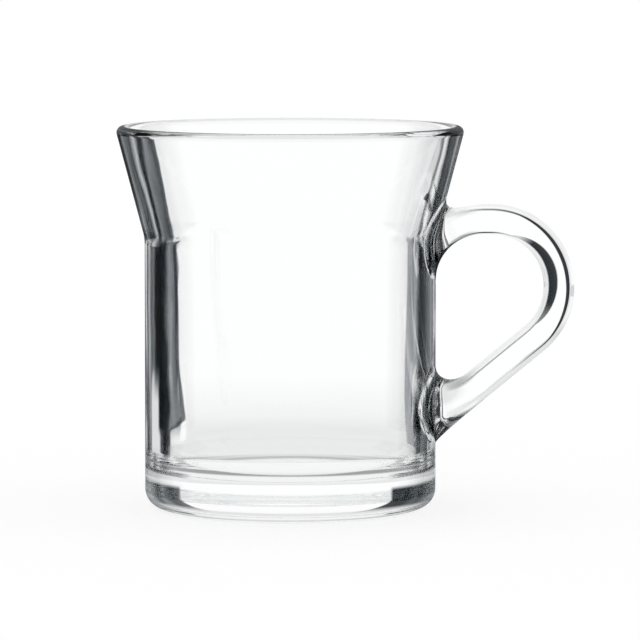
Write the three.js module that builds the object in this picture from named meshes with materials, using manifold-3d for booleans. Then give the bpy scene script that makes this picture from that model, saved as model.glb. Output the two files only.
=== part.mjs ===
// A clear pressed-glass latte mug: a thick-based bowl with a flared mouth, and a D-shaped handle
// drawn from a separate gather and welded to the wall at two roots.
// Millimetres, +Z up, the bowl's axis on Z, the handle towards +X, the foot standing on z = 0.

import * as THREE from 'three';
import { mergeVertices } from 'three/addons/utils/BufferGeometryUtils.js';
import Module from 'manifold-3d';

const degree = Math.PI / 180;

// Bowl
const height = 95;
const rimDiameter = 86.2;
const bodyDiameter = 72.4;
const shoulderHeight = 67.2; // where the straight wall turns out into the flare
const shoulderBlend = 12;
const rimThickness = 3.2;
const wallAtShoulder = 4.0;
const wallDraft = 0.7; // how much thicker the wall is at the inside floor
const floorThickness = 9;
const floorCornerRadius = 6;
const heelRadius = 4.7;

// Underside: a shallow recess inside the ring that the mug stands on
const recessDepth = 0.6;
const footRingWidth = 6;
const recessSlope = 1.2; // width of the sloping edge of the recess

// Handle
const handleReach = 34.5; // from the straight wall to the outside of the bend
const handleTop = 75.6;
const bendRadius = 20.7; // outside of the bend
const strutAngle = 39.4 * degree; // the lower strut's slope
const barAtTop = 7.2; // the bar thins as it is drawn out from the upper root
const barAtFoot = 6.2;
const barWidth = 11;
const barLean = 1.2; // how far the outer side falls back from its middle ridge to its front and back edges
const barCornerRadius = 1.2;
const innerRound = 0.8; // the inner side's rounding for the fingers, along the bar's thickness
const fullRound = 3.8; // the same where the bend is fullest
const roundStretch = 1.25; // the rounding's width against its depth
const fullestAngle = 12 * degree; // where on the bend, up from level
const fullSpan = 62 * degree; // from there to the plain rounding on either side
const upperRootFillet = 12;
const lowerRootFillet = 4.9;
const rootSpread = 2.9; // how far each side of a root spreads along the wall
const rootFlare = 1.2; // how far the upper root's outer edge turns up the flare
const rootRoundness = 0.9; // corner radius of a root against half its width
const weldGap = 0.3;

const latheSegments = 72;
const bodyRadius = bodyDiameter / 2;
const rimRadius = rimDiameter / 2;
const rimBead = rimThickness / 2;

const point = (x, y) => new THREE.Vector2(x, y);
const heading = (angle) => point(Math.cos(angle), Math.sin(angle));

// Points of an arc of the given centre and radius, both ends included
function arcPoints(centre, radius, from, to, steps) {
  const points = [];
  for (let i = 0; i <= steps; i += 1) {
    const angle = THREE.MathUtils.lerp(from, to, i / steps);
    points.push(heading(angle).multiplyScalar(radius).add(centre));
  }
  return points;
}

// The corner of an outline rounded by an arc that is tangent to both its sides
function roundedCorner(before, corner, after, radius, steps) {
  const back = before.clone().sub(corner).normalize();
  const ahead = after.clone().sub(corner).normalize();
  const half = Math.acos(back.dot(ahead)) / 2;
  const centre = back.clone().add(ahead).setLength(radius / Math.sin(half)).add(corner);
  const reach = radius / Math.tan(half);
  const start = back.multiplyScalar(reach).add(corner).sub(centre).angle();
  const end = ahead.multiplyScalar(reach).add(corner).sub(centre).angle();
  const turn = Math.atan2(Math.sin(end - start), Math.cos(end - start));
  return arcPoints(centre, radius, start, start + turn, steps);
}

// The rim is a full round, and each face of the flare runs from its shoulder tangent to it
const rimCentre = point(rimRadius - rimBead, height - rimBead);

function flareAngle(shoulder, side) {
  const toRim = rimCentre.clone().sub(shoulder);
  return toRim.angle() - side * Math.asin(rimBead / toRim.length());
}

const outerShoulder = point(bodyRadius, shoulderHeight);
const innerShoulder = point(bodyRadius - wallAtShoulder, shoulderHeight);
const floorCorner = point(innerShoulder.x - wallDraft, floorThickness);
const outerFlare = flareAngle(outerShoulder, 1);
const innerFlare = flareAngle(innerShoulder, -1);
const rimRound = arcPoints(rimCentre, rimBead, outerFlare - 90 * degree, innerFlare + 90 * degree, 8);

// Outside of the bowl from the standing ring up to the flare
const outside = [
  ...roundedCorner(point(0, 0), point(bodyRadius, 0), outerShoulder, heelRadius, 6),
  ...roundedCorner(point(bodyRadius, 0), outerShoulder, rimRound[0], shoulderBlend, 3),
];

// Inside of the bowl from the flare down to the floor
const inside = [
  ...roundedCorner(rimRound.at(-1), innerShoulder, floorCorner, shoulderBlend, 3),
  ...roundedCorner(innerShoulder, floorCorner, point(0, floorThickness), floorCornerRadius, 6),
];

const turned = (profile) => new THREE.LatheGeometry(profile, latheSegments).rotateX(90 * degree);

function bowl() {
  const ringInner = bodyRadius - heelRadius - footRingWidth;
  return turned([
    point(0, recessDepth),
    point(ringInner - recessSlope, recessDepth),
    point(ringInner, 0),
    ...outside,
    ...rimRound,
    ...inside,
    point(0, floorThickness),
  ]);
}

// The space that the bowl and the weld's gap take up, which the handle's roots are cut to
function wallSpace() {
  const grown = [...outside, rimRound[0]].map((p) => point(p.x + weldGap, p.y));
  return turned([point(0, 0), ...grown, point(0, rimRound[0].y)]);
}

// The handle's edges in its own plane, x out from the axis and y up, as pairs of an inner and an outer
// point. root is 0 along the bar and rises to 1 where a root meets the wall, and full is 1 where the
// inner side of the bend is roundest.
const bendCentre = point(bodyRadius + handleReach - bendRadius, handleTop - bendRadius);
const strutNormal = strutAngle - 90 * degree;
const rootEdgeAngle = 14 * degree; // a fillet stops this far short of lying flat on the wall

function upperRoot(steps) {
  const centre = point(bodyRadius + upperRootFillet, handleTop - barAtTop - upperRootFillet);
  const edge = arcPoints(centre, upperRootFillet, 180 * degree - rootEdgeAngle, 90 * degree, steps);
  const wallX = bodyRadius + Math.max(0, handleTop - shoulderHeight) / Math.tan(outerFlare);
  return edge.map((inner, i) => {
    const root = 1 - i / steps;
    const outer = point(THREE.MathUtils.lerp(centre.x, wallX, root), handleTop + rootFlare * root ** 3);
    return { inner, outer, root, full: 0 };
  });
}

function bend(steps) {
  const edge = arcPoints(bendCentre, bendRadius, 90 * degree, strutNormal, steps);
  return edge.map((outer, i) => {
    const bar = THREE.MathUtils.lerp(barAtTop, barAtFoot, i / steps);
    const inner = outer.clone().sub(bendCentre).setLength(bendRadius - bar).add(bendCentre);
    const angle = THREE.MathUtils.lerp(90 * degree, strutNormal, i / steps);
    const off = Math.min(1, Math.abs(angle - fullestAngle) / fullSpan);
    return { inner, outer, root: 0, full: Math.cos(off * 90 * degree) ** 2 };
  });
}

function lowerRoot(steps) {
  const normal = heading(strutNormal);
  const across = bodyRadius + lowerRootFillet - bendCentre.x;
  const fromBend = bendRadius - barAtFoot - lowerRootFillet;
  const centreY = bendCentre.y + (fromBend - across * normal.x) / normal.y;
  const centre = point(bodyRadius + lowerRootFillet, centreY);
  const edge = arcPoints(centre, lowerRootFillet, strutNormal, rootEdgeAngle - 180 * degree, steps);
  const start = normal.clone().multiplyScalar(lowerRootFillet + barAtFoot).add(centre);
  return edge.map((inner, i) => {
    const root = i / steps;
    const x = THREE.MathUtils.lerp(start.x, bodyRadius, root);
    const y = start.y - (start.x - x) * Math.tan(strutAngle);
    return { inner, outer: point(x, y), root, full: 0 };
  });
}

// One ring of the bar across a pair of edge points: flat front and back, an outer side leaning to a ridge
// half way, and an inner side rounded for the fingers. It is wider and rounder at a root.
function barRing({ inner, outer, root, full }) {
  const { lerp } = THREE.MathUtils;
  const middle = inner.clone().lerp(outer, 0.5);
  const along = outer.clone().sub(inner);
  const halfDepth = along.length() / 2;
  const halfWidth = barWidth / 2 + rootSpread * root ** 2;
  const rootRadius = halfWidth * rootRoundness;
  const lean = lerp(barLean, 0, root);
  const outerRadius = Math.min(lerp(barCornerRadius, rootRadius, root), halfDepth - lean);
  const roundDepth = Math.min(lerp(lerp(innerRound, fullRound, full), rootRadius, root), halfDepth);
  const roundWidth = Math.min(roundDepth * lerp(roundStretch, 1, root), halfWidth);
  const ridge = point(halfDepth, 0);
  const front = point(halfDepth - lean, halfWidth);
  const half = [ridge, ...roundedCorner(ridge, front, point(-halfDepth, halfWidth), outerRadius, 4)];
  for (const p of arcPoints(point(1, -1), 1, 90 * degree, 180 * degree, 5)) {
    half.push(point(p.x * roundDepth - halfDepth, p.y * roundWidth + halfWidth));
  }
  const otherHalf = half.slice(1).reverse().map((p) => point(p.x, -p.y));
  along.normalize();
  return [...half, ...otherHalf].map((p) => {
    const edge = along.clone().multiplyScalar(p.x).add(middle);
    return new THREE.Vector3(edge.x, p.y, edge.y);
  });
}

// A closed skin over rings of equal counts, with a flat end on the first and the last
function loft(rings) {
  const count = rings[0].length;
  const last = (rings.length - 1) * count;
  const indices = [];
  for (let ring = 0; ring < rings.length - 1; ring += 1) {
    for (let i = 0; i < count; i += 1) {
      const a = ring * count + i;
      const b = ring * count + ((i + 1) % count);
      indices.push(a, a + count, b, b, a + count, b + count);
    }
  }
  for (let i = 1; i < count - 1; i += 1) {
    indices.push(0, i, i + 1);
    indices.push(last, last + i + 1, last + i);
  }
  return new THREE.BufferGeometry().setFromPoints(rings.flat()).setIndex(indices);
}

function handleBar() {
  const rings = [...upperRoot(7), ...bend(22).slice(1), ...lowerRoot(7)].map(barRing);
  const intoWall = new THREE.Vector3(-wallAtShoulder, 0, 0);
  const sunk = (ring) => ring.map((p) => p.clone().add(intoWall));
  return loft([sunk(rings[0]), ...rings, sunk(rings.at(-1))]);
}

const wasm = await Module();
wasm.setup();

function solidOf(geometry) {
  const bare = geometry.clone();
  bare.deleteAttribute('normal');
  bare.deleteAttribute('uv');
  const merged = mergeVertices(bare, 1e-4);
  const vertProperties = merged.getAttribute('position').array;
  const triVerts = new Uint32Array(merged.index.array);
  return new wasm.Manifold(new wasm.Mesh({ numProp: 3, vertProperties, triVerts }));
}

function geometryOf(solid) {
  const { vertProperties, triVerts } = solid.getMesh();
  const geometry = new THREE.BufferGeometry();
  geometry.setAttribute('position', new THREE.BufferAttribute(vertProperties, 3));
  geometry.setIndex(new THREE.BufferAttribute(triVerts, 1));
  geometry.computeVertexNormals();
  return geometry;
}

function clearGlass(color) {
  const polish = { roughness: 0.03, metalness: 0 };
  return new THREE.MeshStandardMaterial({ color, ...polish, transparent: true, opacity: 0.3 });
}

const mug = new THREE.Group();

const body = new THREE.Mesh(bowl(), clearGlass(0xe9f0f1));
body.name = 'glass_body';
mug.add(body);

const handleShape = geometryOf(solidOf(handleBar()).subtract(solidOf(wallSpace())));
const handle = new THREE.Mesh(handleShape, clearGlass(0xeaf1f2));
handle.name = 'handle';
mug.add(handle);

export default mug;
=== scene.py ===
# Clear glass latte mug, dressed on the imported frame: bowl, handle, studio and camera.
import math

import bpy
import numpy as np
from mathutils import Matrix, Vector


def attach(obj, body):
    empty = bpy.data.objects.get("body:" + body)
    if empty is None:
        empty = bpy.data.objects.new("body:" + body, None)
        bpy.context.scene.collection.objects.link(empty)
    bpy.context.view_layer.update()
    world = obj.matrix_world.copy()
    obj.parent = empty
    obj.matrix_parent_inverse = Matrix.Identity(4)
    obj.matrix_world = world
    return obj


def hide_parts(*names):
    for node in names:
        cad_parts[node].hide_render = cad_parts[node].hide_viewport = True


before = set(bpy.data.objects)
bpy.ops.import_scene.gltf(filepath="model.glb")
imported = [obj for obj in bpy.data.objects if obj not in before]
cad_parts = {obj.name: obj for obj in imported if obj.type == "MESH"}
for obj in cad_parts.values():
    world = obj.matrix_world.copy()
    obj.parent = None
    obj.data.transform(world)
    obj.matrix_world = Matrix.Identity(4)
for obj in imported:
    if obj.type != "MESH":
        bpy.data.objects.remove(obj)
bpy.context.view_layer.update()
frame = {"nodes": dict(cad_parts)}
scene = bpy.context.scene
scene.view_settings.view_transform = "Standard"
mm = 0.001
print("frame loaded:", ", ".join(frame["nodes"]))


# Mesh helpers
def addMesh(name, points, faces, normals, slots):
    mesh = bpy.data.meshes.new(name)
    mesh.from_pydata([tuple(p) for p in points], [], faces)
    mesh.polygons.foreach_set("use_smooth", [True] * len(faces))
    mesh.polygons.foreach_set("material_index", slots)
    mesh.normals_split_custom_set([tuple(n) for n in normals])
    mesh.update()
    piece = bpy.data.objects.new(name, mesh)
    scene.collection.objects.link(piece)
    return piece


def addFlat(name, points, faces, material):
    # a flat sheet of the studio
    mesh = bpy.data.meshes.new(name)
    mesh.from_pydata(points, [], faces)
    mesh.materials.append(material)
    flat = bpy.data.objects.new(name, mesh)
    scene.collection.objects.link(flat)
    return flat


def between(low, high, share):
    return low + (high - low) * share


def arcRun(centre, radius, start, end, steps):
    # points of an arc as (x, z, tangent x, tangent z)
    side = 1 if end > start else -1
    run = []
    for i in range(steps + 1):
        a = start + (end - start) * i / steps
        run.append((centre[0] + radius * math.cos(a), centre[1] + radius * math.sin(a),
                    -side * math.sin(a), side * math.cos(a)))
    return run


def roundTurn(before, corner, after, radius, steps):
    # the corner of an outline turned by an arc tangent to both its sides
    back = (Vector(before) - Vector(corner)).normalized()
    ahead = (Vector(after) - Vector(corner)).normalized()
    half = back.angle(ahead) / 2
    centre = Vector(corner) + (back + ahead).normalized() * radius / math.sin(half)
    first = Vector(corner) + back * radius / math.tan(half) - centre
    last = Vector(corner) + ahead * radius / math.tan(half) - centre
    start = math.atan2(first.y, first.x)
    turn = math.atan2(first.x * last.y - first.y * last.x, first.dot(last))
    return arcRun(centre, radius, start, start + turn, steps)


def straightRun(start, end, steps):
    # points strictly between two ends
    way = Vector(end[:2]) - Vector(start[:2])
    tangent = way.normalized()
    return [(start[0] + way.x * i / steps, start[1] + way.y * i / steps, tangent.x, tangent.y)
            for i in range(1, steps)]


# Bowl: one wall of revolution, millimetres, then how finely its outline is divided
bowl = dict(height=95.0, rimRadius=43.1, bodyRadius=36.2, shoulder=67.2, shoulderBlend=12.0,
            rimBead=1.6, wallTop=4.0, draft=0.7, floor=9.0, floorCorner=6.0, heel=4.7,
            recess=0.6, ringWidth=6.0, recessSlope=1.2, ringEdge=1.0, turns=288, spacing=1.5,
            steps=dict(rim=40, ringEdge=6, heel=30, shoulder=16, floorCorner=30))


def bowlOutline(b):
    steps = b["steps"]
    rim = Vector((b["rimRadius"] - b["rimBead"], b["height"] - b["rimBead"]))
    outer = Vector((b["bodyRadius"], b["shoulder"]))
    inner = Vector((b["bodyRadius"] - b["wallTop"], b["shoulder"]))
    corner = Vector((inner.x - b["draft"], b["floor"]))

    def flare(shoulder, side):
        d = rim - shoulder
        return math.atan2(d.y, d.x) - side * math.asin(b["rimBead"] / d.length)

    up, down = flare(outer, 1), flare(inner, -1)
    rimRun = arcRun(rim, b["rimBead"], up - math.pi / 2, down + math.pi / 2, steps["rim"])
    ringInner = b["bodyRadius"] - b["heel"] - b["ringWidth"]
    roof = (ringInner - b["recessSlope"], b["recess"])
    edge = (ringInner, 0.0)
    stretches = [
        [(0.0, b["recess"], 1.0, 0.0)],
        roundTurn((0, b["recess"]), roof, edge, b["ringEdge"], steps["ringEdge"]),
        roundTurn(roof, edge, (b["bodyRadius"], 0), b["ringEdge"], steps["ringEdge"]),
        roundTurn((0, 0), (b["bodyRadius"], 0), outer, b["heel"], steps["heel"]),
        roundTurn((b["bodyRadius"], 0), outer, rimRun[0][:2], b["shoulderBlend"], steps["shoulder"]),
        rimRun,
        roundTurn(rimRun[-1][:2], inner, corner, b["shoulderBlend"], steps["shoulder"]),
        roundTurn(inner, corner, (0, b["floor"]), b["floorCorner"], steps["floorCorner"]),
        [(0.0, b["floor"], -1.0, 0.0)],
    ]
    line = list(stretches[0])
    for stretch in stretches[1:]:
        gap = math.dist(line[-1][:2], stretch[0][:2])
        line += straightRun(line[-1], stretch[0], max(2, int(gap / b["spacing"])))
        line += stretch
    return line


bowlLine = bowlOutline(bowl)
rimIndex = max(range(len(bowlLine)), key=lambda i: bowlLine[i][1])
# the outside of the wall, from the heel to the rim
heelStart = bowl["bodyRadius"] - bowl["heel"]
outsideLine = [p for p in bowlLine[:rimIndex] if p[3] > 0 and p[0] > heelStart]
outsideZ = np.array([p[1] for p in outsideLine])
outsideR = np.array([p[0] for p in outsideLine])


def makeBowl(b, line):
    turns = b["turns"]
    points, normals, faces = [], [], []
    ringStart = []
    for r, z, tangentR, tangentZ in line:
        ringStart.append(len(points))
        if r < 1e-6:  # on the axis
            points.append((0, 0, z * mm))
            normals.append((0, 0, -tangentR))
            continue
        for i in range(turns):
            a = 2 * math.pi * i / turns
            c, s = math.cos(a), math.sin(a)
            points.append((r * c * mm, r * s * mm, z * mm))
            normals.append((tangentZ * c, tangentZ * s, -tangentR))
    last = len(line) - 1
    for j in range(last):
        ring, nextRing = ringStart[j], ringStart[j + 1]
        for i in range(turns):
            n = (i + 1) % turns
            if j == 0:
                faces.append((ring, nextRing + n, nextRing + i))
            elif j == last - 1:
                faces.append((ring + i, ring + n, nextRing))
            else:
                faces.append((ring + i, ring + n, nextRing + n, nextRing + i))
    loops = [normals[v] for face in faces for v in face]
    return addMesh("bowl", points, faces, loops, [0] * len(faces))


bowlPiece = makeBowl(bowl, bowlLine)
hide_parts("glass_body")
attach(bowlPiece, "root")
print("bowl turned:", len(bowlPiece.data.polygons), "faces")

# Handle: a drawn bar, welded to the wall at two roots, millimetres. The lean runs from the bar's top
# to its foot, the outer corner from the straight parts to the bend. The inner sides give how deep and
# how tall the rounding is. The steps are the points along each stretch.
handle = dict(reach=34.5, top=75.6, bend=20.7, strut=math.radians(39.4), barTop=7.2, barFoot=7.7,
              width=11.0, lean=(0.9, 1.55), ridge=2.6, outerCorner=(0.8, 1.8),
              innerTop=(0.7, 1.0), innerBend=(4.5, 5.2), innerFoot=(1.2, 4.8), fullest=15.0, fullSpan=55.0,
              upperFillet=12.0, lowerFillet=4.9, weldRings=(0.75, 0.5, 0.25),
              steps=dict(ridge=9, flat=5, corner=10, side=8, inside=18, middle=6,
                         root=30, bend=96, strut=20))
# Each root: middle height, half height and half width on the wall, then how far the skin leans along
# the wall and along the bar before it turns, at its outer edge, sides and inner edge, and the half
# sizes of the painted dark loop that stands for it in the wall when seen edge on
upperRoot = dict(side=1, middle=67.1, tall=10.7, wide=8.6, wall=(17.0, 11.0, 19.9), bar=(14.0, 24.0, 19.9),
                 loop=(16.5, 11.3))
lowerRoot = dict(side=-1, middle=25.6, tall=9.8, wide=8.4, wall=(3.0, 10.0, 12.4), bar=(17.0, 20.0, 12.4),
                 loop=(18.5, 9.6))
# How strongly the painted shade shows on the handle's rounded edges: places along a stretch with their
# strengths, or one strength.
# The over and under edges of a root give where they start, how far they move and their strength.
edgeShadeLook = dict(soft=0.12, upperRoot=(0.3, 0.16), upperUnder=(0.1, 0.85, 1.0), upperOuter=0.7,
                bendOuter=((0, 0.2, 0.9, 1), (0.7, 1, 1, 0.8)),
                bendInner=((0, 0.1, 0.2, 0.3, 0.74, 0.94), (1, 0.5, 0.35, 1, 1, 0.6)),
                strutOuter=((0, 0.5), (0.8, 0.3)), strutInner=0.6,
                lowerRoot=0.3, lowerOver=(0.2, 0.8, 0.9), lowerUnder=(0.45, 0.55, 0.8),
                lowerOuter=0.3, lowerInner=0.6)


def edgeShadeMarks(edges, turn, counts, m):
    # how strongly each ring shows painted shade on its rounded edges: fully in the bend, faintly along the
    # strut, and all round where a root lies on the wall
    outer, inner = edges
    up = np.cos(turn)

    def beyond(way, t, start, move, strength):
        return np.clip((way * up - (start + move * t)) / m["soft"], 0, 1) * strength

    upper, bend, strut, lower = counts
    rows = []
    for i in range(upper):
        t = i / upper
        onRoot = np.clip(1 - t / (m["upperRoot"][0] + m["upperRoot"][1] * up), 0, 1)
        onBar = outer * m["upperOuter"] * t ** 3 + inner * t
        rows.append(np.maximum(onRoot, np.maximum(beyond(-1, t, *m["upperUnder"]), onBar)))
    for i in range(bend):
        t = i / bend
        rows.append(outer * np.interp(t, *m["bendOuter"]) + inner * np.interp(t, *m["bendInner"]))
    for i in range(strut):
        rows.append(outer * np.interp(i / strut, *m["strutOuter"]) + inner * m["strutInner"])
    for i in range(lower):
        t = 1 - (i + 1) / lower
        onRoot = max(0, 1 - t / m["lowerRoot"])
        rootEdge = np.maximum(beyond(1, t, *m["lowerOver"]), beyond(-1, t, *m["lowerUnder"]))
        onBar = (outer * m["lowerOuter"] + inner * m["lowerInner"]) * t
        rows.append(np.maximum(onRoot, np.maximum(rootEdge, onBar)))
    return np.array(rows)


def barRing(inner, outer, h, fuller, low):
    # section across a pair of edge points: flat front and back, an outer side leaning to a soft ridge,
    # an inner side rounded towards the fingers
    steps = h["steps"]
    mid = (inner + outer) / 2
    way = (outer - inner).normalized()
    thick, wide = (outer - inner).length / 2, h["width"] / 2
    lean = between(*h["lean"], low)
    flank = thick - lean
    peak = h["ridge"] * (1 / math.cos(math.atan2(lean, wide)) - 1)
    plain = [between(top, foot, low) for top, foot in zip(h["innerTop"], h["innerFoot"])]
    deep, tall = [between(slim, full, fuller) for slim, full in zip(plain, h["innerBend"])]
    rounding = between(*h["outerCorner"], fuller)
    ridge = roundTurn((flank, -wide), (thick + peak, 0), (flank, wide), h["ridge"], steps["ridge"])
    corner = roundTurn((thick + peak, 0), (flank, wide), (-thick, wide), rounding, steps["corner"])
    quarter = [math.pi / 2 * i / steps["inside"] for i in range(steps["inside"] + 1)]
    inside = [(-thick + deep * (1 - math.sin(t)), wide - tall * (1 - math.cos(t))) for t in quarter]
    # one half from the ridge to the inner side, then its mirror image
    stretches = [ridge[len(ridge) // 2:], straightRun(ridge[-1], corner[0], steps["flat"]), corner,
                 straightRun(corner[-1], inside[0], steps["side"]), inside]
    half = [p[:2] for stretch in stretches for p in stretch]
    middle = [p[:2] for p in straightRun(half[-1], (half[-1][0], -half[-1][1]), steps["middle"])]
    points = half + middle + [(p, -q) for p, q in half[:0:-1]]
    ring = np.array([(mid.x + way.x * p, q, mid.y + way.y * p) for p, q in points])
    turn = np.array([math.atan2(q / wide, p / thick) for p, q in points])
    # 1 on the outer rounded edges, then 1 on the inner ones, where the painted edge shade may go
    edges = []
    for rounded in (corner, inside):
        marks = [float(stretch is rounded) for stretch in stretches for _ in stretch]
        edges.append(marks + [0.0] * len(middle) + marks[:0:-1])
    return ring, turn, np.array(edges)


def onWall(across, z):
    # point, direction round the wall and direction up the wall at an arc length and a height
    r = np.interp(z, outsideZ, outsideR)
    lift = 0.05
    slope = (np.interp(z + lift, outsideZ, outsideR) - np.interp(z - lift, outsideZ, outsideR)) / (2 * lift)
    a = across / bowl["bodyRadius"]
    up = np.stack([slope * np.cos(a), slope * np.sin(a), np.ones_like(a)], 1)
    up /= np.linalg.norm(up, axis=1)[:, None]
    around = np.stack([-np.sin(a), np.cos(a), np.zeros_like(a)], 1)
    return np.stack([r * np.cos(a), r * np.sin(a), z], 1), around, up


def rootRings(root, ring, turn, barWay, steps):
    # the skin from the wall to the bar: it leaves the wall flat on it and joins the bar along it
    across = root["wide"] * np.sin(turn)
    z = root["middle"] + root["side"] * root["tall"] * np.cos(turn)
    base, around, up = onWall(across, z)
    inX, inZ = -np.sin(turn) / root["wide"], -root["side"] * np.cos(turn) / root["tall"]
    size = np.hypot(inX, inZ)
    inward = around * (inX / size)[:, None] + up * (inZ / size)[:, None]
    c = np.cos(turn)
    outerShare, innerShare = np.clip(c, 0, 1) ** 2, np.clip(-c, 0, 1) ** 2
    sideShare = 1 - outerShare - innerShare

    def lean(three):
        return (three[0] * outerShare + three[1] * sideShare + three[2] * innerShare)[:, None]

    rings = []
    for i in range(steps):
        t = i / steps
        rings.append((2 * t ** 3 - 3 * t ** 2 + 1) * base
                     + (t ** 3 - 2 * t ** 2 + t) * lean(root["wall"]) * inward
                     + (3 * t ** 2 - 2 * t ** 3) * ring
                     + (t ** 3 - t ** 2) * lean(root["bar"]) * barWay)
    return rings


def makeHandle(h):
    steps = h["steps"]
    bendCentre = Vector((bowl["bodyRadius"] + h["reach"] - h["bend"], h["top"] - h["bend"]))
    normalAngle = h["strut"] - math.pi / 2
    normal = Vector((math.cos(normalAngle), math.sin(normalAngle)))
    bend = []
    for i in range(steps["bend"] + 1):
        share = i / steps["bend"]
        a = math.pi / 2 + (normalAngle - math.pi / 2) * share
        way = Vector((math.cos(a), math.sin(a)))
        bar = h["barTop"] + (h["barFoot"] - h["barTop"]) * share * (2 - share)
        off = min(1, abs(math.degrees(a) - h["fullest"]) / h["fullSpan"])
        fuller = math.cos(off * math.pi / 2)
        inner, outer = bendCentre + way * (h["bend"] - bar), bendCentre + way * h["bend"]
        bend.append(barRing(inner, outer, h, fuller, share)[0])
    # upper root joins the first ring of the straight top
    topX = bowl["bodyRadius"] + h["upperFillet"]
    inner, outer = Vector((topX, h["top"] - h["barTop"])), Vector((topX, h["top"]))
    topRing, turn, _ = barRing(inner, outer, h, 0, 0)
    upper = rootRings(upperRoot, topRing, turn, np.array([1.0, 0, 0]), steps["root"])
    # strut down to the lower root
    across = bowl["bodyRadius"] + h["lowerFillet"] - bendCentre.x
    fromBend = h["bend"] - h["barFoot"] - h["lowerFillet"]
    filletZ = bendCentre.y + (fromBend - across * normal.x) / normal.y
    filletCentre = Vector((bowl["bodyRadius"] + h["lowerFillet"], filletZ))
    inner = filletCentre + normal * h["lowerFillet"]
    footRing, turn, edges = barRing(inner, inner + normal * h["barFoot"], h, 0, 1)
    strut = [bend[-1] + (footRing - bend[-1]) * i / steps["strut"] for i in range(1, steps["strut"])]
    alongStrut = np.array([math.cos(h["strut"]), 0, math.sin(h["strut"])])
    lower = rootRings(lowerRoot, footRing, turn, alongStrut, steps["root"])
    grid = np.array(upper + [topRing] + bend + strut + [footRing] + lower[::-1])
    marks = edgeShadeMarks(edges, turn, (len(upper), len(bend) + 1, len(strut) + 1, len(lower)), edgeShadeLook)
    # normals from the skin's own directions
    alongBar = np.gradient(grid, axis=0)
    roundBar = np.roll(grid, -1, 1) - np.roll(grid, 1, 1)
    normals = np.cross(roundBar, alongBar)
    normals /= np.linalg.norm(normals, axis=2)[:, :, None]
    return grid, normals, marks


def wallNormal(points):
    _, around, up = onWall(np.arctan2(points[:, 1], points[:, 0]) * bowl["bodyRadius"], points[:, 2])
    return np.cross(around, up)


def closeHandle(grid, normals, weldRings):
    rows, count = grid.shape[:2]
    half = rows // 2
    if np.dot(normals[half][0], grid[half][0] - grid[half].mean(axis=0)) < 0:
        normals = -normals
    normals[0] = wallNormal(grid[0])
    normals[-1] = wallNormal(grid[-1])
    points = list(grid.reshape(-1, 3) * mm)
    flatNormals = normals.reshape(-1, 3)
    faces, loops, slots = [], [], []
    for j in range(rows - 1):
        for i in range(count):
            n = (i + 1) % count
            quad = (j * count + i, (j + 1) * count + i, (j + 1) * count + n, j * count + n)
            faces.append(quad)
            loops += [flatNormals[v] for v in quad]
            slots.append(0)
    # weld faces, lying on the wall and facing the bowl
    bowlWay = (-1.0, 0.0, 0.0)

    def addWeld(face, flip):
        faces.append(face[::-1] if flip else face)
        loops.extend([bowlWay] * len(face))
        slots.append(1)

    for row, root, flip in ((0, upperRoot, False), (rows - 1, lowerRoot, True)):
        edge = grid[row]
        across = np.arctan2(edge[:, 1], edge[:, 0]) * bowl["bodyRadius"]
        ids = [row * count + i for i in range(count)]
        for share in weldRings:
            ring, _, _ = onWall(across * share, root["middle"] + (edge[:, 2] - root["middle"]) * share)
            nextIds = [len(points) + i for i in range(count)]
            points += list(ring * mm)
            for i in range(count):
                n = (i + 1) % count
                addWeld((ids[i], ids[n], nextIds[n], nextIds[i]), flip)
            ids = nextIds
        centre, _, _ = onWall(np.array([0.0]), np.array([root["middle"]]))
        points.append(centre[0] * mm)
        for i in range(count):
            addWeld((ids[i], ids[(i + 1) % count], len(points) - 1), flip)
    return addMesh("handle", points, faces, loops, slots)


handleGrid, handleNormals, handleShadeMarks = makeHandle(handle)
handlePiece = closeHandle(handleGrid, handleNormals, handle["weldRings"])
# painted shade marks: how strongly the handle's glass is darkened at each point
edgeShadeLayer = handlePiece.data.attributes.new("paintedEdgeShade", "FLOAT", "POINT")
edgeValues = np.zeros(len(handlePiece.data.vertices))
edgeValues[:handleShadeMarks.size] = handleShadeMarks.ravel()
edgeShadeLayer.data.foreach_set("value", edgeValues)
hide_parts("handle")
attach(handlePiece, "root")
print("handle drawn:", len(handlePiece.data.polygons), "faces")


# Node helpers
def addNode(tree, kind, **settings):
    node = tree.nodes.new(kind)
    for key, value in settings.items():
        setattr(node, key, value)
    return node


def newMaterial(name):
    material = bpy.data.materials.new(name)
    material.use_nodes = True
    tree = material.node_tree
    tree.nodes.clear()
    return material, tree, addNode(tree, "ShaderNodeOutputMaterial")


def fill(tree, socket, value):
    # a number or colour set on a socket, or another socket linked to it
    if isinstance(value, bpy.types.NodeSocket):
        tree.links.new(value, socket)
    else:
        socket.default_value = value


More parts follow.
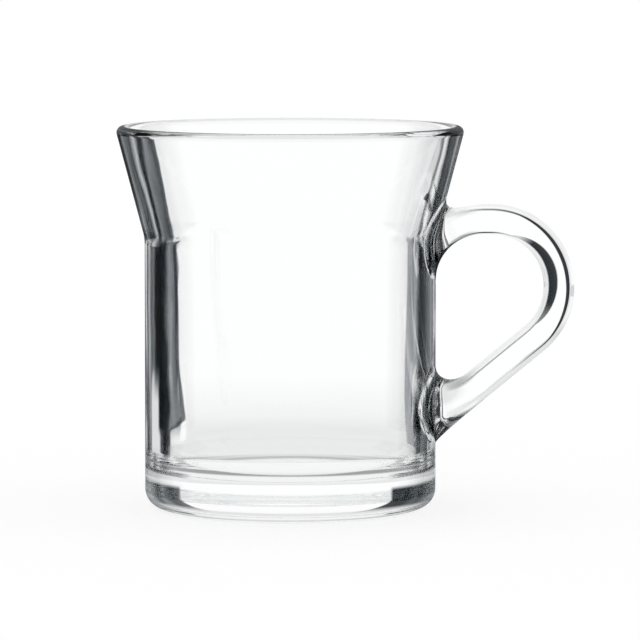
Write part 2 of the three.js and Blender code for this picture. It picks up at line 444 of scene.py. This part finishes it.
class Field:
    # a number in a node tree that can be reckoned with
    def __init__(self, tree, socket):
        self.tree, self.socket = tree, socket

    def made(self, operation, other=None):
        node = addNode(self.tree, "ShaderNodeMath", operation=operation)
        fill(self.tree, node.inputs[0], self.socket)
        if other is not None:
            fill(self.tree, node.inputs[1], getattr(other, "socket", other))
        return Field(self.tree, node.outputs[0])

    def __add__(self, other):
        return self.made("ADD", other)

    def __sub__(self, other):
        return self.made("SUBTRACT", other)

    def __mul__(self, other):
        return self.made("MULTIPLY", other)

    def most(self, other):
        return self.made("MAXIMUM", other)

    def over(self, edge, soft):
        # 0 below the edge and 1 above it
        node = addNode(self.tree, "ShaderNodeMapRange", interpolation_type="SMOOTHSTEP")
        fill(self.tree, node.inputs["Value"], self.socket)
        node.inputs["From Min"].default_value = edge - soft
        node.inputs["From Max"].default_value = edge + soft
        return Field(self.tree, node.outputs["Result"])

    def under(self, edge, soft):
        # 1 below the edge and 0 above it
        return self.over(edge, soft).mixed(1.0, 0.0)

    def within(self, low, high):
        # 1 between two edges
        return self.over(*low) * self.under(*high)

    def mixed(self, low, high):
        # low where this is 0 and high where it is 1
        node = addNode(self.tree, "ShaderNodeMix", data_type="FLOAT")
        fill(self.tree, node.inputs[0], self.socket)
        for slot, value in ((2, low), (3, high)):
            fill(self.tree, node.inputs[slot], getattr(value, "socket", value))
        return Field(self.tree, node.outputs[0])


def splitPlace(tree, source):
    # the place's three numbers
    node = addNode(tree, "ShaderNodeSeparateXYZ")
    tree.links.new(source, node.inputs[0])
    return [Field(tree, output) for output in node.outputs]


def colourMix(tree, share, low, high):
    node = addNode(tree, "ShaderNodeMix", data_type="RGBA")
    for slot, value in ((0, share.socket), (6, low), (7, high)):
        fill(tree, node.inputs[slot], value)
    return node.outputs[2]


def shaderMix(tree, share, low, high):
    node = addNode(tree, "ShaderNodeMixShader")
    for slot, value in enumerate((share.socket, low, high)):
        tree.links.new(value, node.inputs[slot])
    return node.outputs[0]


def toneRamp(tree, value, stops, tint):
    node = addNode(tree, "ShaderNodeValToRGB")
    while len(node.color_ramp.elements) < len(stops):
        node.color_ramp.elements.new(0.5)
    for element, (at, tone) in zip(node.color_ramp.elements, stops):
        element.position = at
        element.color = (*(tone ** power for power in tint), 1)
    tree.links.new(value.socket, node.inputs[0])
    return node.outputs[0]


def noiseWave(tree, source, scale, detail):
    node = addNode(tree, "ShaderNodeTexNoise")
    node.inputs["Scale"].default_value = scale
    node.inputs["Detail"].default_value = detail
    tree.links.new(source, node.inputs["Vector"])
    return Field(tree, node.outputs[0])


def stretched(tree, source, scale):
    node = addNode(tree, "ShaderNodeMapping")
    node.inputs["Scale"].default_value = scale
    tree.links.new(source, node.inputs[0])
    return node.outputs[0]


# Glass: its refraction, its clear colour and tone, the powers that cool its darker painted shade, how softly
# the painted shade on the handle's side, the back and the wall's outside begins in millimetres, how deep the
# weld's clear patch reaches into the wall, and the detail of the two noises
glass = dict(refraction=1.517, clear=(0.997, 0.999, 0.999, 1), clearTone=0.998, cool=(1.04, 1.0, 0.97),
             handleSide=2.0, backSide=(3.0, 3.0), wallSoft=0.5, weldDepth=1.5,
             swayDetail=2.0, rippleDetail=1.0)
# Painted shade where a root is seen edge on through the wall: from which slope, its border, and tones from
# its middle outwards
rootShadeLook = dict(slope=(0.5, 0.05), border=(1.0, 0.03),
                tones=((0.0, 0.06), (0.6, 0.06), (0.63, 0.5), (0.66, 0.06), (0.78, 0.08), (0.86, 0.3),
                       (0.9, glass["clearTone"]), (1.0, glass["clearTone"])))


def outsideOnly(tree, place):
    # where the painted shade lies: 1 on the outside of the bowl, 0 on its inside
    x, y, z = place
    flare = (bowl["rimRadius"] - bowl["bodyRadius"]) / (bowl["height"] - bowl["shoulder"])
    far = (x * x + y * y).made("SQRT") - (z - bowl["shoulder"] * mm).most(0.0) * flare
    return far.over((bowl["bodyRadius"] - bowl["wallTop"] / 2) * mm, glass["wallSoft"] * mm)


def edgeShadeMask(tree, place):
    # where the painted edge shade lies: 1 on the rounded edges of the bar and on its roots, wherever they
    # are
    mark = addNode(tree, "ShaderNodeAttribute", attribute_name="paintedEdgeShade")
    return Field(tree, mark.outputs["Fac"])


def clearTo(slope, *stops):
    # a row of painted shade tones that is clear up to a slope
    return ((0.0, glass["clearTone"]), (slope, glass["clearTone"])) + stops


# Painted shade on the clear glass by its slope to the sight line, darker mostly where the surface turns away
# from it, in bands along one axis. Each band gives where it starts in millimetres, how softly, its row and
# where it differs a second row on the handle's side.
# Then come the sway of this painted shade and the ripples of pressing.
floorCornerShadeRow = clearTo(0.44, (0.48, 0.6), (0.52, 0.5), (0.57, 0.95), (0.63, 0.4), (0.66, 0.4), (0.7, 0.95),
                         (0.8, 0.45), (0.93, 0.7), (1.0, 0.25))
bowlShadeAndRipple = dict(axis=2, where=outsideOnly, bands=(
    # foot
    (0.0, 0.0, clearTo(0.46, (0.57, 0.18), (1.0, 0.12))),
    (0.6, 0.2, clearTo(0.62, (0.75, 0.6), (0.9, 0.7), (1.0, 0.25))),
    # thick base
    (2.6, 0.6,
     clearTo(0.352, (0.372, 0.2), (0.45, 0.12), (0.52, 0.3), (0.6, 0.14), (0.75, 0.45), (1.0, 0.4)),
     clearTo(0.28, (0.3, 0.07), (0.42, 0.06), (0.5, 0.14), (0.58, 0.1), (0.75, 0.3), (1.0, 0.4))),
    (7.6, 0.6, clearTo(0.45, (0.6, 0.8), (0.8, 0.9), (0.93, 0.7), (1.0, 0.25))),
    # inside floor and its corner
    (10.1, 0.3, clearTo(0.27, (0.36, 0.42), (0.6, 0.32), (0.8, 0.6), (1.0, 0.25))),
    (11.1, 0.3, floorCornerShadeRow),
    (12.5, 0.2, clearTo(0.28, (0.36, 0.5), (0.5, 0.4), (0.8, 0.6), (1.0, 0.25))),
    (13.1, 0.2, floorCornerShadeRow),
    # straight wall
    (14.5, 1.2,
     clearTo(0.43, (0.45, 0.3), (0.47, 0.1), (0.5, 0.1), (0.53, 0.9), (0.69, 1.0), (0.8, 0.15), (0.84, 0.9),
             (1.0, 0.3)),
     clearTo(0.44, (0.5, 0.55), (0.52, 0.9), (0.56, 0.2), (0.67, 0.15), (0.69, 1.0), (0.84, 0.9),
             (1.0, 0.3))),
    (20.5, 1.8,
     clearTo(0.35, (0.36, 0.6), (0.45, 0.6), (0.48, 0.08), (0.56, 0.08), (0.58, 0.9), (0.69, 1.0),
             (0.8, 0.15), (0.84, 0.9), (1.0, 0.3)),
     clearTo(0.44, (0.46, 0.6), (0.49, 0.08), (0.57, 0.06), (0.61, 0.65), (0.64, 0.05), (0.69, 0.03),
             (0.72, 1.0), (0.76, 0.12), (0.8, 0.12), (0.93, 0.6), (1.0, 0.3))),
    (31.0, 4.0,
     clearTo(0.37, (0.38, 0.35), (0.41, 0.5), (0.44, 0.95), (0.49, 0.1), (0.61, 0.12), (0.65, 0.75),
             (0.69, 0.4), (0.74, 1.0), (0.79, 0.4), (0.86, 1.0), (1.0, 0.3)),
     clearTo(0.41, (0.5, 0.92), (0.52, 0.75), (0.55, 0.25), (0.58, 0.25), (0.72, 0.7), (0.78, 0.5),
             (0.86, 1.0), (1.0, 0.3))),
    # flare and rim
    (67.5, 1.5,
     clearTo(0.41, (0.42, 0.18), (0.44, 0.1), (0.52, 0.34), (0.55, 0.05), (0.58, 0.08), (0.61, 0.65),
             (0.66, 0.08), (0.71, 0.15), (0.79, 0.6), (0.84, 0.15), (1.0, 0.2)),
     clearTo(0.53, (0.55, 0.34), (0.56, 0.34), (0.58, 1.0), (0.6, 1.0), (0.65, 0.06), (0.74, 0.13),
             (0.78, 0.5), (0.84, 0.28), (0.93, 0.6), (1.0, 0.3))),
    (93.6, 0.3, clearTo(0.6, (0.7, 0.25), (1.0, 0.15)))),
    backRimShade=(91.5, 0.4, clearTo(0.88, (1.0, 0.3))), sway=(0.1, 110.0, (1.0, 1.0, 0.5)),
    stretch=(1.0, 1.0, 0.12), fine=95.0, broad=36.0, fineShare=0.2, ripple=0.12)
# Painted shade on the handle's marked edges and roots, in bands along x, then its sway and ripples
handleShadeAndRipple = dict(axis=0, where=edgeShadeMask, bands=(
    # roots on the wall, then their necks
    (0.0, 0.0, ((0.0, 0.95), (0.3, 0.9), (0.5, 0.3), (0.65, 0.1), (0.9, 0.06), (1.0, 0.1))),
    (39.0, 1.0, ((0.0, 0.14), (0.15, 0.08), (0.5, 0.1), (0.7, 0.2), (1.0, 0.4))),
    # bar
    (44.5, 3.0, clearTo(0.025, (0.045, 0.05), (0.33, 0.03), (0.42, 0.92), (0.6, 0.85), (0.8, 0.85),
                        (1.0, 0.6)))),
    sway=(0.02, 150.0, (1.0, 1.0, 1.0)),
    stretch=(1.0, 1.0, 1.0), fine=160.0, broad=50.0, fineShare=0.3, ripple=0.02)


def rootSpan(place, root, wide, tall):
    # 0 in the middle of a root and 1 on an oval round it, measured along the wall
    x, y, z = place
    u = y.made("ARCTAN2", x) * (bowl["bodyRadius"] * mm) * (1 / (wide * mm))
    v = (z - root["middle"] * mm) * (1 / (tall * mm))
    return (u * u + v * v).made("SQRT")


def paintedRootLoops(tree, place, facing, tones):
    # painted shade: a root seen edge on through the wall, painted as a dark loop with a bright border
    for root in (upperRoot, lowerRoot):
        far = rootSpan(place, root, *root["loop"])
        share = far.under(*rootShadeLook["border"]) * facing.over(*rootShadeLook["slope"])
        tones = colourMix(tree, share, tones, toneRamp(tree, far, rootShadeLook["tones"], glass["cool"]))
    return tones


def weldPatch(place):
    # 1 on the wall's outside within the roots, where bowl and handle are one glass
    x, y, _ = place
    upper, lower = [rootSpan(place, root, root["wide"], root["tall"]).made("LESS_THAN", 1.0)
                    for root in (upperRoot, lowerRoot)]
    far = (x * x + y * y).made("SQRT")
    return upper.most(lower) * far.made("GREATER_THAN", (bowl["bodyRadius"] - glass["weldDepth"]) * mm)


def glassMaterial(name, shadeAndRipple, welds):
    material, tree, out = newMaterial(name)
    shader = addNode(tree, "ShaderNodeBsdfGlass")
    shader.inputs["IOR"].default_value = glass["refraction"]
    shader.inputs["Roughness"].default_value = 0.0
    spot = addNode(tree, "ShaderNodeTexCoord").outputs["Object"]
    place = splitPlace(tree, spot)
    # painted shade by slope where the sight line enters the glass
    slope = addNode(tree, "ShaderNodeLayerWeight")
    slope.inputs["Blend"].default_value = 0.5
    swayShare, swayScale, swayStretch = shadeAndRipple["sway"]
    sway = noiseWave(tree, stretched(tree, spot, swayStretch), swayScale, glass["swayDetail"])
    facing = Field(tree, slope.outputs["Facing"]) + (sway - 0.5) * swayShare
    along = place[shadeAndRipple["axis"]]
    handleSide = place[0].over(0.0, glass["handleSide"] * mm)
    tones = None
    for edge, soft, *rows in shadeAndRipple["bands"]:
        band = toneRamp(tree, facing, rows[0], glass["cool"])
        if len(rows) == 2:
            band = colourMix(tree, handleSide, band, toneRamp(tree, facing, rows[1], glass["cool"]))
        if tones is not None:
            band = colourMix(tree, along.over(edge * mm, soft * mm), tones, band)
        tones = band
    if welds:
        tones = paintedRootLoops(tree, place, facing, tones)
        # painted shade: a thin dark line along the back of the rim
        edge, soft, row = shadeAndRipple["backRimShade"]
        start, fade = glass["backSide"]
        share = along.over(edge * mm, soft * mm) * place[1].over(start * mm, fade * mm)
        tones = colourMix(tree, share, tones, toneRamp(tree, facing, row, glass["cool"]))
    # the painted shade lies only where the mask is 1; elsewhere the glass stays clear
    tones = colourMix(tree, shadeAndRipple["where"](tree, place), glass["clear"], tones)
    leaving = Field(tree, addNode(tree, "ShaderNodeNewGeometry").outputs["Backfacing"])
    tree.links.new(colourMix(tree, leaving, tones, glass["clear"]), shader.inputs["Color"])
    # ripples
    fine = noiseWave(tree, stretched(tree, spot, shadeAndRipple["stretch"]), shadeAndRipple["fine"], glass["rippleDetail"])
    broad = noiseWave(tree, spot, shadeAndRipple["broad"], glass["rippleDetail"])
    bump = addNode(tree, "ShaderNodeBump")
    bump.inputs["Distance"].default_value = shadeAndRipple["ripple"] * mm
    tree.links.new((fine * shadeAndRipple["fineShare"] + broad).socket, bump.inputs["Height"])
    tree.links.new(bump.outputs[0], shader.inputs["Normal"])
    # clear to shadows and in the welds
    share = Field(tree, addNode(tree, "ShaderNodeLightPath").outputs["Is Shadow Ray"])
    if welds:
        share = share.most(weldPatch(place))
    clear = addNode(tree, "ShaderNodeBsdfTransparent")
    tree.links.new(shaderMix(tree, share, shader.outputs[0], clear.outputs[0]), out.inputs["Surface"])
    return material


def weldMaterial():
    material, tree, out = newMaterial("weldGlass")
    clear = addNode(tree, "ShaderNodeBsdfTransparent")
    tree.links.new(clear.outputs[0], out.inputs["Surface"])
    return material


bowlPiece.data.materials.append(glassMaterial("bowlGlass", bowlShadeAndRipple, True))
handlePiece.data.materials.append(glassMaterial("handleGlass", handleShadeAndRipple, False))
handlePiece.data.materials.append(weldMaterial())
print("glass laid")

# Studio: angles in degrees from straight behind the mug and above the level, each edge with its softness,
# and the tones on both sides of the edges
studio = dict(
    middle=(0.0, 0.1), horizon=(-4.0, 0.5), foot=(-8.6, 0.4), footTone=0.92,
    # white strip behind the mug: its half width low and high, then the tones beyond it
    leftLift=(-6.9, 0.7), leftWhite=(10.4, 13.1), leftFoot=(-7.22, 0.14), leftFootWhite=22.0,
    leftEdge=(0.0, 0.35), leftSteps=((1.7, 0.5), (9.5, 1.2)), leftTones=(0.03, 0.34, 0.025),
    rightLift=(-7.3, 0.7), rightWhite=(13.6, 14.8),
    rightEdge=(0.0, 0.6), rightStep=(14.0, 4.0), rightTones=(0.38, 0.07),
    room=(44.0, 1.5), roomTone=0.95,
    # dark stretch of the wall at each side
    flankWide=((38.0, 2.0), (80.0, 4.0)), flankLift=((4.0, 6.0), (36.0, 4.0)), flankTone=0.06,
    # what the glass mirrors from behind: steps outwards with the tones at the left and the right
    rearTone=0.95, rearSteps=(((9.0, 1.5), (0.1, 0.1)), ((14.0, 1.0), (0.4, 0.4)),
                              ((20.0, 1.5), (0.12, 0.15)), ((31.0, 1.0), (0.025, 0.06))),
    flameLift=(-7.15, 0.25), flameWide=((22.0, 2.0), (41.0, 2.0)), flameTone=0.9, front=(73.0, 4.0),
    # bounces after which light is seen another way, and the least tone of light that passed one wall
    firstBounce=(0.5, 0.1), thirdBounce=(2.5, 0.1), deepMirror=0.97, oneWall=0.95, cool=(1.05, 1.0, 0.95))


def makeWorld(s):
    world = bpy.data.worlds.new("studio")
    scene.world = world
    world.use_nodes = True
    tree = world.node_tree
    tree.nodes.clear()
    out = addNode(tree, "ShaderNodeOutputWorld")
    back = addNode(tree, "ShaderNodeBackground")
    path = addNode(tree, "ShaderNodeLightPath")

    def ray(kind):
        return Field(tree, path.outputs[kind])

    x, y, z = splitPlace(tree, addNode(tree, "ShaderNodeTexCoord").outputs["Generated"])
    degrees = 180 / math.pi
    side = x.made("ARCTAN2", y) * degrees
    wide = side.made("ABSOLUTE")
    lift = z.made("ARCSINE") * degrees
    right = side.over(*s["middle"])
    # the white strip behind the mug, its dark sides and the table below
    leftReach = lift.over(*s["leftLift"]).mixed(*s["leftWhite"])
    leftPast = wide - lift.over(*s["leftFoot"]).mixed(s["leftFootWhite"], leftReach)
    leftTone = leftPast.over(*s["leftSteps"][0]).mixed(*s["leftTones"][:2])
    leftTone = leftPast.over(*s["leftSteps"][1]).mixed(leftTone, s["leftTones"][2])
    leftTone = leftPast.over(*s["leftEdge"]).mixed(1.0, leftTone)
    rightPast = wide - lift.over(*s["rightLift"]).mixed(*s["rightWhite"])
    rightTone = rightPast.over(*s["rightStep"]).mixed(*s["rightTones"])
    rightTone = rightPast.over(*s["rightEdge"]).mixed(1.0, rightTone)
    behind = wide.over(*s["room"]).mixed(right.mixed(leftTone, rightTone), s["roomTone"])
    behind = lift.over(*s["foot"]).mixed(s["footTone"], behind)
    # above the table line: white wall with a dark stretch at each side
    flank = wide.within(*s["flankWide"]) * lift.within(*s["flankLift"])
    wall = flank.mixed(1.0, s["flankTone"])
    through = lift.over(*s["horizon"]).mixed(behind, wall)
    # what the glass mirrors: dark sides behind with a flame of light low down, white in front
    rear = s["rearTone"]
    for edge, tones in s["rearSteps"]:
        rear = wide.over(*edge).mixed(rear, right.mixed(*tones))
    flame = lift.under(*s["flameLift"]) * wide.within(*s["flameWide"])
    rear = rear.most(flame * s["flameTone"])
    rear = wide.over(*s["front"]).mixed(rear, 1.0)
    mirror = lift.over(*s["horizon"]).mixed(rear, wall)
    mirror = ray("Glossy Depth").over(*s["thirdBounce"]).mixed(mirror, s["deepMirror"])
    shallow = ray("Transmission Depth").over(*s["thirdBounce"]).mixed(s["oneWall"], 0.0)
    seen = ray("Glossy Depth").over(*s["firstBounce"]).mixed(through.most(shallow), mirror)
    # plain white to the camera and to the floor
    seen = seen.most(ray("Is Camera Ray").most(ray("Diffuse Depth").over(*s["firstBounce"])))
    # dark parts of the room are a little cool
    colour = addNode(tree, "ShaderNodeCombineColor")
    for i, power in enumerate(s["cool"]):
        tree.links.new(seen.made("POWER", power).socket, colour.inputs[i])
    tree.links.new(colour.outputs[0], back.inputs["Color"])
    tree.links.new(back.outputs[0], out.inputs["Surface"])


makeWorld(studio)

# A glowing sheet for the white table close to the mug, as the glass shows it, with painted shadow,
# millimetres: radii and tones from the middle outwards, darker under the foot and near the mug where its
# shadow would fall, and the sides past which it is cut away, each as a distance and a slope
table = dict(radius=330.0, lift=-0.15, corners=96, near=(80.0, 8.0), left=(30.0, 0.175), right=(44.0, 0.2),
             sideSoft=2.0, tint=(1.0, 1.0, 1.0),
             rings=((0.0, 0.9), (30.0, 0.9), (32.0, 0.3), (37.5, 0.3), (40.5, 0.8), (70.0, 0.8),
                    (160.0, 0.8), (195.0, 0.89), (250.0, 0.95), (300.0, 1.0)))


def makeGlowingTableWithShadow(t):
    count = t["corners"]
    points = [(0, 0, t["lift"] * mm)]
    for i in range(count):
        a = 2 * math.pi * i / count
        points.append((t["radius"] * math.cos(a) * mm, t["radius"] * math.sin(a) * mm, t["lift"] * mm))
    faces = [(0, 1 + i, 1 + (i + 1) % count) for i in range(count)]
    material, tree, out = newMaterial("tableGlowWithShadow")
    spot = addNode(tree, "ShaderNodeTexCoord").outputs["Object"]
    length = addNode(tree, "ShaderNodeVectorMath", operation="LENGTH")
    tree.links.new(spot, length.inputs[0])
    far = Field(tree, length.outputs["Value"])
    # painted shadow: the glow is dimmed in a ring at the mug's foot and near the mug, where the table lies
    # in the mug's shadow
    stops = [(radius / t["radius"], tone) for radius, tone in t["rings"]]
    glow = addNode(tree, "ShaderNodeEmission")
    tones = toneRamp(tree, far.made("DIVIDE", t["radius"] * mm), stops, t["tint"])
    tree.links.new(tones, glow.inputs["Color"])
    # cut away in front of the mug and past its two sides
    x, y, _ = splitPlace(tree, spot)
    pastLeft = x * -1.0 - y * t["left"][1] - t["left"][0] * mm
    pastRight = x - y * t["right"][1] - t["right"][0] * mm
    past = pastLeft.most(pastRight).most(y * -1.0)
    start, fade = t["near"]
    bare = past.over(0.0, t["sideSoft"] * mm) * far.over(start * mm, fade * mm)
    clear = addNode(tree, "ShaderNodeBsdfTransparent")
    tree.links.new(shaderMix(tree, bare, glow.outputs[0], clear.outputs[0]), out.inputs["Surface"])
    sheet = addFlat("glowingTableWithShadow", points, faces, material)
    sheet.visible_camera = False
    sheet.visible_diffuse = False
    sheet.visible_shadow = False


makeGlowingTableWithShadow(table)

# The pale floor that takes the shadow, millimetres, and how much of it is plain white to the camera
ground = dict(half=3000.0, lift=-0.2, white=0.75)


def makeFloor(g):
    half, lift = g["half"] * mm, g["lift"] * mm
    points = [(-half, -half, lift), (half, -half, lift), (half, half, lift), (-half, half, lift)]
    material, tree, out = newMaterial("floorPaper")
    paper = addNode(tree, "ShaderNodeBsdfDiffuse")
    paper.inputs["Color"].default_value = (1, 1, 1, 1)
    white = addNode(tree, "ShaderNodeEmission")
    share = Field(tree, addNode(tree, "ShaderNodeLightPath").outputs["Is Camera Ray"]) * g["white"]
    tree.links.new(shaderMix(tree, share, paper.outputs[0], white.outputs[0]), out.inputs["Surface"])
    floor = addFlat("studioFloor", points, [(0, 1, 2, 3)], material)
    floor.visible_transmission = False
    floor.visible_glossy = False


makeFloor(ground)
print("studio set")

# Camera: place and aim in millimetres, then how often light may bounce in the glass
view = dict(place=(7.4, -1300.0, 159.6), aim=(7.4, 0.0, 46.6), lens=294.8, sensor=36.0, farEnd=50.0,
            bounces=24, clearBounces=32)


def makeCamera(v):
    data = bpy.data.cameras.new("camera")
    data.lens = v["lens"]
    data.sensor_width = v["sensor"]
    data.sensor_fit = "HORIZONTAL"
    data.clip_end = v["farEnd"]
    eye = bpy.data.objects.new("camera", data)
    eye.location = Vector(v["place"]) * mm
    eye.rotation_euler = (Vector(v["aim"]) - Vector(v["place"])).to_track_quat("-Z", "Y").to_euler()
    scene.collection.objects.link(eye)
    scene.camera = eye


makeCamera(view)
scene.cycles.max_bounces = view["bounces"]
scene.cycles.transmission_bounces = view["bounces"]
scene.cycles.glossy_bounces = view["bounces"]
scene.cycles.transparent_max_bounces = view["clearBounces"]
scene.cycles.caustics_reflective = True
scene.cycles.caustics_refractive = True
print("camera set")
